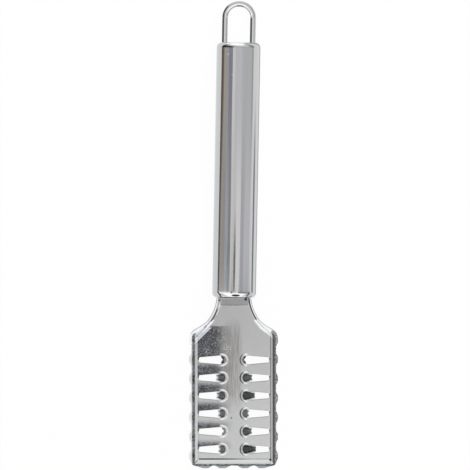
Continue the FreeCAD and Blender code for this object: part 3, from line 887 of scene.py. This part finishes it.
    def paint_dark_lines(self):
        """Painted shade lines down the neck, along the front bend, the mitre and the flanges' hem, and
        specks.
        """
        right_line = self.from_edge.near(0.0, 0.2, 0.2) * self.right * self.along.near(-5.3, 4.4, 0.8)
        left_line = self.from_edge.near(0.4, 0.15, 0.2) * self.left * self.along.near(-8.2, 2.6, 0.8)
        front_line = self.along.near(FRONT_Y + BEND_INSET + 0.35, 0.22, 0.2)
        front_line = front_line * (1 - self.x.between(-8, 10) * 0.72) * self.x.near(0, HALF_TRAY - 1.6, 0.4)
        slope = ((self.along - FIRST_TOOTH_Y) / (-FLANGE_END - FIRST_TOOTH_Y)).least(1.0)
        hem = (1 - (self.z - slope * FLANGE_FOOT).between(1.2, 1.9)) * self.along.between(-17.6, -16.8)
        hem = hem * (1 - self.along.between(0, 0.5))
        mitre = (self.x + HALF_TRAY - self.along + FRONT_Y).near(0, 0.12, 0.3)
        mitre = mitre * (1 - self.x.between(-17.4, -17.0))
        mitre = mitre * (1 - self.along.between(FRONT_Y + 0.8, FRONT_Y + 1.2))
        # Painted shade at the neck, the front bend, the mitre and the hem, with the specks
        dark = right_line.most(left_line).most(front_line * 0.95).most(hem * 0.85).most(mitre * 0.75)
        for centre, radius in SPECKS:
            dark = dark.most(self.spot(centre, radius))
        self.paint(dark, 0.04)


def head_finish(recipe):
    """Brushed back with a mottled painted dark reflection, polished lips with painted highlights,
    and painted shade in the tongues.
    """
    head = HeadPainter(recipe)
    warmth = head.lay_metal()
    dark_reflection = head.paint_dark_reflection()
    head.paint_scratches()
    lip = head.paint_rings()
    dullness = head.paint_tongues()
    head.paint_slot_ends()
    head.paint_highlight_bands()
    head.paint_dark_lines()

    # Bluish tint over the left of the painted dark reflection, away from the lips
    blue_share = dark_reflection * (1 - lip) * (1 - head.x.between(-13, -6))
    colour = recipe.blend(warmth, head.colour(COLD_STEEL), head.colour(WARM_STEEL))
    colour = recipe.blend(blue_share, colour, head.colour(BLUISH_REFLECTION))
    roughness = head.brushing * 0.06 + 0.06 + head.top * 0.12 - lip * 0.06 + dullness
    relief = head.grain + head.brushing * 0.5 + head.mottle * 2.5 * (1 - head.top)
    return colour, roughness, recipe.bump(relief, HEAD_GRAIN)


def on_handle(x, along):
    """Places across and along the handle, which leans a little."""
    turn_cos, turn_sin = math.cos(HANDLE_LEAN), math.sin(HANDLE_LEAN)
    return x * turn_cos - along * turn_sin, x * turn_sin + along * turn_cos


def handle_finish(recipe):
    """Polished tube, fine streaks along it, and painted light and shade and scratches round its two ends.
    """
    place, x, y, z = recipe.place()
    across, along = on_handle(x, y - MOUTH_Y)
    brushing = recipe.noise(place, (3, 0.1, 3), 1.0, 3.0)
    handle = Painter(recipe, 0.555 + brushing * 0.06)
    upper = z.between(AXIS_Z, AXIS_Z + 1)

    # Painted highlight round the mouth, ended by two slanting painted dark lines, with a painted dark
    # reflection, an oval, in it
    ends = (across + 0.2).size() - along * 0.72 - 5.33
    mouth_white = (1 - ends.between(-0.5, -0.1)) * along.near(1.5, 0.9, 0.3)
    handle.paint(mouth_white * upper, 1.0)
    slanting = ends.near(0.3, 0.22, 0.25) * along.near(1.7, 1.1, 0.2) * (1 - across.between(-1, 1) * 0.5)
    wide, long = [(at - middle) / half
                  for at, middle, half in zip((across, along), OVAL_PLACE, OVAL_HALVES)]
    oval = 1 - (wide * wide + long * long).root().between(0.7, 1.15)
    handle.paint(oval.most(slanting) * upper, 0.03)

    # Painted shade along the rounding of the mouth, above the neck
    rounding = z.between(AXIS_Z + 5.2, AXIS_Z + 5.8)
    handle.paint((1 - along.between(0.25, 0.55)) * rounding * 0.95, 0.04)

    # Darker streaks along the left of the near half
    streak_noise = recipe.noise(place, (1, 0.05, 1), 1.6, 2.0, 0.7).between(0.42, 0.62)
    streaks = across.near(-3.9, 0.7, 1.0) * (1 - along.between(22, 42)) * streak_noise * upper
    handle.tone = handle.tone - streaks * 0.07

    # Painted highlight at the far end, over a painted dark line that fades to the right, and a few small
    # scratches
    from_end = HANDLE_LENGTH - along
    end_white = from_end.near(1.2, 0.5, 0.4) * across.near(-1.6, 3.2, 1.6)
    handle.paint(end_white * upper, 1.0)
    end_line = from_end.near(2.45, 0.3, 0.3) * across.near(0, 7.4, 0.5)
    end_line = end_line * (1 - across.between(-4.2, -0.8) * 0.8)
    handle.paint(end_line * upper, 0.05)
    curls = 1 - (recipe.noise(place, (1, 1, 1), 0.7, 0.0) - 0.5).size().between(0.01, 0.04)
    patches = [spot(across, from_end, *patch) for patch in END_SCRATCHES]
    handle.paint(curls * patches[0].most(patches[1]) * upper * 0.8, 1.0)
    return handle.colour(), brushing * 0.04 + 0.05, recipe.bump(brushing, HANDLE_GRAIN)


def loop_finish(recipe):
    """Drawn wire with painted highlights along its middle and painted shade along its left and inside the
    arch.
    """
    place, x, y, _ = recipe.place()
    across, along = on_handle(x, y - MOUTH_Y)
    marks = recipe.noise(place, (1, 1, 1), 0.8, 2.0)
    wire = Painter(recipe, 0.56 + marks * 0.08)
    above = along - HANDLE_LENGTH - LOOP_LEG
    in_arch = above.between(-0.5, 0.5)
    in_legs = 1 - in_arch
    from_ring = (across * across + above * above).root() - LOOP_WIDTH / 2
    from_leg = (across.size() - LOOP_WIDTH / 2) * (across.between(0, 0.01) * 2 - 1)
    # Painted highlights along the arch and the legs, and a thin painted dark line outside the arch
    wire.paint(from_ring.near(-0.35, 0.3, 0.3) * in_arch * 0.8, 1.0)
    wire.paint(from_ring.near(0.5, 0.08, 0.2) * in_arch * 0.6, 0.2)
    wire.paint(from_leg.near(0.1, 0.2, 0.3) * in_legs * 0.6, 0.9)
    # Painted shade along the legs' left, outside the arch on its left, and inside the arch
    leg_dark = (1 - from_leg.between(-0.75, -0.35)) * in_legs
    arch_dark = from_ring.between(0.3, 0.7) * (1 - across.between(-6.0, -4.6)) * in_arch
    inner_dark = (1 - from_ring.between(-0.9, -0.5)) * across.near(0.3, 1.2, 0.8) * in_arch
    wire.paint(leg_dark.most(arch_dark).most(inner_dark) * 0.9, 0.08)
    return wire.colour(), marks * 0.06 + 0.1, recipe.bump(marks, WIRE_GRAIN)


# Floor, surroundings and light: sizes in metres, tones from 0 to 1
FLOOR_SIZE = 6.0
FLOOR_WHITE = 0.95
FLOOR_SHADE = 0.95
WORLD_LIGHT = 0.5
TENT_RADIUS = 1.5
TENT_LENGTH = 6.0
TENT_STEPS = 96
LAMP_SIZE = 1.2
LAMP_POWER = 12
LAMP_PLACE = Vector((0.2, 0.3, 1.4))

# Camera almost straight above, leaning towards -X
CAMERA_LEAN = math.radians(0.8)
CAMERA_DISTANCE = 6.0
FRAME_WIDTH = 0.2251
LOOK_AT = Vector((0.5, -0.1, 12.0)) * MM


def by_ray(recipe, seen, lit):
    """One shader where the camera or a reflection looks, and another for all other light."""
    camera, glossy, clear = [recipe.node("ShaderNodeLightPath", output=f"Is {kind} Ray")
                             for kind in ("Camera", "Glossy", "Transmission")]
    return recipe.node("ShaderNodeMixShader", values={0: camera.most(glossy).most(clear), 1: lit, 2: seen})


def make_world():
    world = bpy.data.worlds.new("studio")
    bpy.context.scene.world = world
    world.use_nodes = True
    recipe = Recipe(world.node_tree)
    seen = recipe.node("ShaderNodeBackground", values={"Color": WHITE, "Strength": 1.0})
    lit = recipe.node("ShaderNodeBackground", values={"Color": WHITE, "Strength": WORLD_LIGHT})
    recipe.node("ShaderNodeOutputWorld", values={"Surface": by_ray(recipe, seen, lit)})


def make_floor():
    bm = bmesh.new()
    bmesh.ops.create_grid(bm, x_segments=1, y_segments=1, size=FLOOR_SIZE / 2)
    material, recipe = new_material("pale_floor")
    matt = recipe.node("ShaderNodeBsdfDiffuse", values={"Color": (*[FLOOR_SHADE] * 3, 1)})
    white = recipe.node("ShaderNodeEmission", values={"Color": WHITE, "Strength": 1.0})
    seen = recipe.node("ShaderNodeMixShader", values={0: FLOOR_WHITE, 1: matt, 2: white})
    recipe.node("ShaderNodeOutputMaterial", values={"Surface": by_ray(recipe, seen, matt)})
    new_piece(bm, "floor", material)


def make_mirrored(bm, name, tones):
    """Surroundings that only reflections see; tones gives their colour."""
    material, recipe = new_material(name + "_tones")
    glow = recipe.node("ShaderNodeEmission", values={"Color": tones(recipe), "Strength": 1.0})
    recipe.node("ShaderNodeOutputMaterial", values={"Surface": glow})
    material.cycles.emission_sampling = "NONE"
    piece = new_piece(bm, name, material)
    piece.visible_camera = piece.visible_diffuse = piece.visible_transmission = False
    piece.visible_shadow = piece.visible_volume_scatter = False


# Bands of the tent that bright metal mirrors: each runs from the one before it to an angle,
# in degrees from overhead towards +X, starting at -90
FAR_BANDS = [(-80, (0.24, 0.17, 0.13)), (-66, (0.54, 0.49, 0.42)), (-50, (0.5, 0.5, 0.5)),
             (-29, (0.35, 0.335, 0.41)), (-15, (0.93, 0.93, 0.93)), (-1, (0.78, 0.78, 0.78)),
             (21, (0.79, 0.78, 0.83)), (43, (0.68, 0.7, 0.71)), (77, (0.69, 0.69, 0.69)),
             (87, (0.53, 0.53, 0.53)), (90, (0.9, 0.9, 0.9))]
NEAR_BANDS = [(-86, (0.22, 0.22, 0.22)), (-76, (0.48, 0.48, 0.48)), (-57, (0.48, 0.43, 0.38)),
              (-40, (0.52, 0.56, 0.64)), (-26, (0.36, 0.36, 0.36)), (-2, (0.88, 0.86, 0.87)),
              (26, (1.0, 1.0, 1.0)), (45, (0.62, 0.61, 0.65)),
              (81, (0.77, 0.76, 0.8)), (90, (0.95, 0.95, 0.95))]
HEAD_BANDS = [(-20, (1.0, 1.0, 1.0)), (-9, (0.25, 0.25, 0.25)), (9, (0.82, 0.82, 0.82)),
              (20, (1.0, 1.0, 1.0)), (90, (0.36, 0.36, 0.36))]
BAND_BLUR = 0.8
FAR_OUT = (0.3, 0.3, 0.31, 1)


def band_stops(bands):
    """Places from 0 to 1 and tones, with a short blur where one band meets the next."""
    stops, start = [], -90
    for end, tone in bands:
        stops += [((place + 90) / 180, tone) for place in (start + BAND_BLUR, end - BAND_BLUR)]
        start = end
    return stops


def tent_tones(recipe):
    """One set of bands over the head, one over each half of the handle, and a soft fade far out."""
    _, x, y, z = recipe.place()
    y = (y + x * math.sin(HANDLE_LEAN)) / (1 + TENT_RADIUS / CAMERA_DISTANCE)
    angle = x.maths("ARCTAN2", x, z)
    share = angle / math.pi + 0.5
    far, near, head = [recipe.node("ShaderNodeValToRGB", {"stops": band_stops(bands)}, {0: share})
                       for bands in (FAR_BANDS, NEAR_BANDS, HEAD_BANDS)]
    streak_place = recipe.node("ShaderNodeCombineXYZ", values={0: angle * 24, 1: y * 0.02})
    streaks = 0.62 + recipe.noise(streak_place, (1, 1, 1), 1.0, 4.0, 0.8) * 0.72
    thin_line = angle.near(math.radians(-2), 0.075, 0.04) * (1 - y.between(-6, 6)) * y.between(-28, -26)
    along_handle = recipe.blend(y.between(10, 65), near, far)
    along_handle = recipe.blend(streaks * (1 - thin_line * 0.95), BLACK, along_handle)
    tones = recipe.blend(y.between(MOUTH_Y - 2, MOUTH_Y), head, along_handle)
    far_out = recipe.blend(angle.size().between(0.8, 1.5), WHITE, FAR_OUT)
    return recipe.blend(y.size().between(220, 260), tones, far_out)


def make_tent():
    """Arch over the tool, along Y."""
    bm = bmesh.new()
    ends = [bm.verts.new((-TENT_RADIUS, y, 0)) for y in (-TENT_LENGTH / 2, TENT_LENGTH / 2)]
    line = bm.edges.new(ends)
    bmesh.ops.spin(bm, geom=ends + [line], cent=(0, 0, 0), axis=(0, 1, 0), angle=math.pi,
                   steps=TENT_STEPS, use_merge=False)
    make_mirrored(bm, "tent", tent_tones)


# Places on the floor, in millimetres, that the walls, the tongues and the sides of the handle mirror
CARD_LIFT = 0.05
TIP_LINE = HALF_TRAY + HEAD_DEPTH * FLARE
FRONT_TIP_LINE = MOUTH_Y + FRONT_Y - HEAD_DEPTH * FLARE
FIRST_TOOTH_MIDDLE = MOUTH_Y + SHOULDER_Y - TOOTH_FIRST
HEAD_CARD_END = MOUTH_Y + SHOULDER_Y + 4
FAR_LEFT = -105.0
STRIP_START, STRIP_END = 43.0, 84.0
CLOSE_STRIP = 14.0


def card_tones(recipe):
    """Dark beside and before the teeth, pale under the head, and grey strips beside the handle."""
    place, x, y, _ = recipe.place()
    patches = recipe.noise(place, (1, 1, 1), 1.2, 2.0).between(0.35, 0.65)
    outside, before = x.size() - TIP_LINE, FRONT_TIP_LINE - y

    # Beside the head: dark close to the teeth, darkest beside each tooth on the left
    beside_tooth = ((y - FIRST_TOOTH_MIDDLE) * (2 * math.pi / TOOTH_PITCH)).cosine() * 0.5 + 0.5
    left = 1 - outside.near(2.75, 1.1, 0.25) * (0.92 + beside_tooth * 0.15 - patches * 0.34)
    right_foot = 1 - outside.between(1.2, 2.0)
    right = 0.12 + right_foot * (0.03 + patches * 0.42) + outside.between(5, 12) * 0.8
    card = Painter(recipe, recipe.mixed(x.between(-1, 1), left, right))

    # Before the head and under it
    front = 0.52 - before.near(1.75, 0.3, 0.35) * (0.22 + patches * 0.24)
    front = front + before.between(2.2, 2.7) * 0.5 - patches * 0.12
    card.paint(before.between(-0.2, 0.2) * (1 - outside.between(-1, 1)), front)
    card.paint((1 - outside.between(-0.8, 0.0)) * (1 - before.between(-0.8, 0.0)), 0.85)
    card.paint(y.between(HEAD_CARD_END, HEAD_CARD_END + 1), 1.0)

    # Beside the handle
    beside_handle = y.between(MOUTH_Y, MOUTH_Y + 1)
    strip = x.between(STRIP_START - 2, STRIP_START + 2) * (1 - x.between(STRIP_END - 6, STRIP_END + 6))
    card.paint(strip * beside_handle * (1 - y.between(20, 75)), 0.28)
    card.paint((1 - x.between(FAR_LEFT - 10, FAR_LEFT)) * beside_handle, 0.13)
    card.paint((x - y * math.sin(HANDLE_LEAN)).near(CLOSE_STRIP, 4, 2) * beside_handle, 0.5)

    cold_front = before.between(-0.2, 0.2) * (1 - before.between(2, 3))
    tint = recipe.blend(cold_front, (0.97, 0.99, 1.0, 1), (0.9, 0.97, 1.04, 1))
    return card.colour(tint)


def make_card():
    """Sheet close above the floor, with the tones that the undersides of things mirror."""
    bm = bmesh.new()
    bmesh.ops.create_grid(bm, x_segments=1, y_segments=1, size=TENT_RADIUS,
                          matrix=Matrix.Translation((0, 0, CARD_LIFT * MM)))
    make_mirrored(bm, "card", card_tones)


def make_lamp():
    """Soft round lamp overhead, which reflections don't see."""
    data = bpy.data.lights.new("overhead", "AREA")
    data.shape, data.size, data.energy = "DISK", LAMP_SIZE, LAMP_POWER
    lamp = bpy.data.objects.new("overhead", data)
    lamp.location = LAMP_PLACE
    lamp.rotation_euler = Vector((0, 0, 1)).rotation_difference(LAMP_PLACE).to_euler()
    lamp.visible_glossy = False
    bpy.context.scene.collection.objects.link(lamp)


def make_camera():
    data = bpy.data.cameras.new("camera")
    camera = bpy.data.objects.new("camera", data)
    bpy.context.scene.collection.objects.link(camera)
    back = Vector((-math.sin(CAMERA_LEAN), 0, math.cos(CAMERA_LEAN)))
    camera.location = LOOK_AT + back * CAMERA_DISTANCE
    camera.rotation_euler = (0, -CAMERA_LEAN, 0)
    data.lens = data.sensor_width * CAMERA_DISTANCE / FRAME_WIDTH
    data.clip_start, data.clip_end = 0.1, 20
    bpy.context.scene.camera = camera


handle_steel = steel("polished_tube_steel", handle_finish)
make_head(steel("satin_steel", head_finish))
make_mouth_cap(handle_steel)
make_tube(handle_steel)
make_end_cap(handle_steel)
make_loop(steel("polished_wire_steel", loop_finish))

make_world()
make_floor()
make_tent()
make_card()
make_lamp()
make_camera()
bpy.context.scene.view_settings.view_transform = "Standard"
